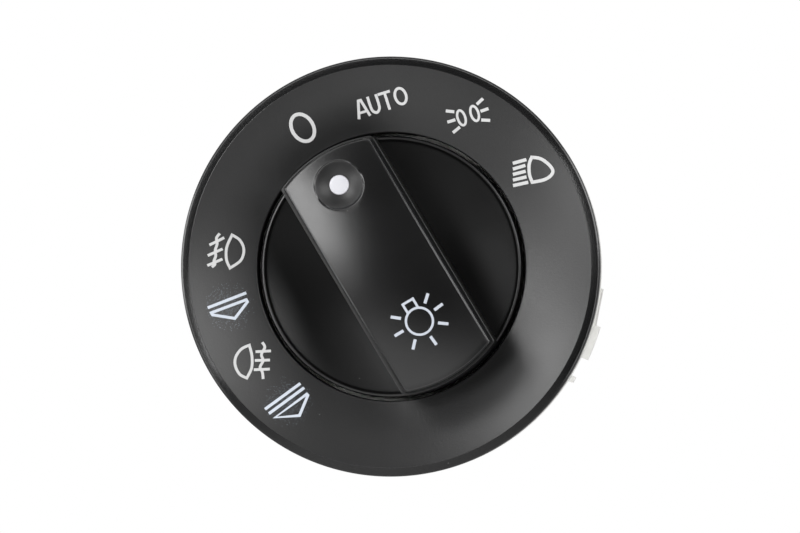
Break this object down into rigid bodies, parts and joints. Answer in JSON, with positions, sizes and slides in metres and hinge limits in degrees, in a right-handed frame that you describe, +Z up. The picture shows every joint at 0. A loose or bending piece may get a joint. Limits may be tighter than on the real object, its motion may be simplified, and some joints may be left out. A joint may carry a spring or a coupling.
{
  "type": "rotary light switch",
  "caption": "Round dashboard headlight switch: dished bezel with printed positions, turn, push and pull knob with a grip bar, pale snap-in housing and rear connector socket.",
  "frame": {"origin": "on the knob axis, in the plane where the back of the front bezel meets the housing", "axes": "-Y toward the driver along the knob axis, +Y into the dashboard, +Z up, +X to the driver's right"},
  "size_m": [0.072, 0.0704, 0.072],
  "materials": {
    "bezel_black": "fine-grained moulded plastic",
    "housing_ivory": "pale moulded plastic",
    "latch_ivory": "pale moulded plastic",
    "cover_black": "moulded plastic",
    "clear_guide": "clear moulded plastic",
    "lens_white": "milky moulded plastic",
    "board_green": "coated board",
    "lamp_yellow": "moulded lamp body",
    "resistor_black": "coated chip",
    "tinned_pin": "tinned metal",
    "track_copper": "bare contact metal",
    "mechanism_grey": "low-friction plastic",
    "steel": "spring steel",
    "contact_brass": "sprung contact metal",
    "knob_black": "fine-grained moulded plastic",
    "cap_black": "soft satin plastic",
    "stem_black": "moulded plastic"
  },
  "bodies": {
    "housing_body": {"bezel": "bezel_black", "light_guide": "clear_guide", "housing": "housing_ivory", "lamp_board": "board_green", "leds": "lamp_yellow", "resistors": "resistor_black", "link_pins": "tinned_pin", "circuit_board": "board_green", "contact_tracks": "track_copper", "contact_plate": "board_green", "pull_contacts": "track_copper", "terminal_pins": "tinned_pin", "rear_cover": "cover_black", "step_spring": "steel", "release_spring": "steel", "latch_spring_right": "steel", "latch_spring_left": "steel"},
    "rotor_body": {"rotor": "mechanism_grey", "detent_rollers": "steel", "detent_spring": "steel", "rotary_wipers": "contact_brass"},
    "knob": {"knob_body": "knob_black", "grip_cap": "cap_black", "index_lens": "lens_white", "light_pipe": "clear_guide", "knob_stem": "stem_black", "stem_clip": "steel"},
    "carriage": {"pull_carriage": "mechanism_grey", "pull_wipers": "contact_brass"},
    "latch_right": {"latch_right": "latch_ivory"},
    "latch_left": {"latch_left": "latch_ivory"}
  },
  "joints": [
    {"name": "knob_turn", "type": "hinge", "parent": "housing_body", "child": "rotor_body", "pos_m": [0, 0, 0], "axis": [0, 1, 0], "range_deg": [0, 90]},
    {"name": "knob_pull", "type": "slide", "parent": "rotor_body", "child": "knob", "axis": [0, -1, 0], "range_m": [-0.0025, 0.006]},
    {"name": "carriage_slide", "type": "slide", "parent": "housing_body", "child": "carriage", "axis": [0, -1, 0], "range_m": [-0.0025, 0.006], "deforming": ["release_spring", "step_spring"]},
    {"name": "latch_right_slide", "type": "slide", "parent": "housing_body", "child": "latch_right", "axis": [-0.9272, 0, 0.3746], "range_m": [0, 0.0013], "stiffness_N_per_m": 800, "springref_m": -0.0015, "deforming": ["latch_spring_right"]},
    {"name": "latch_left_slide", "type": "slide", "parent": "housing_body", "child": "latch_left", "axis": [0.9272, 0, -0.3746], "range_m": [0, 0.0013], "stiffness_N_per_m": 800, "springref_m": -0.0015, "deforming": ["latch_spring_left"]}
  ],
  "couplings": [
    {"joint": "carriage_slide", "follows": "knob_pull", "ratio": 1}
  ]
}
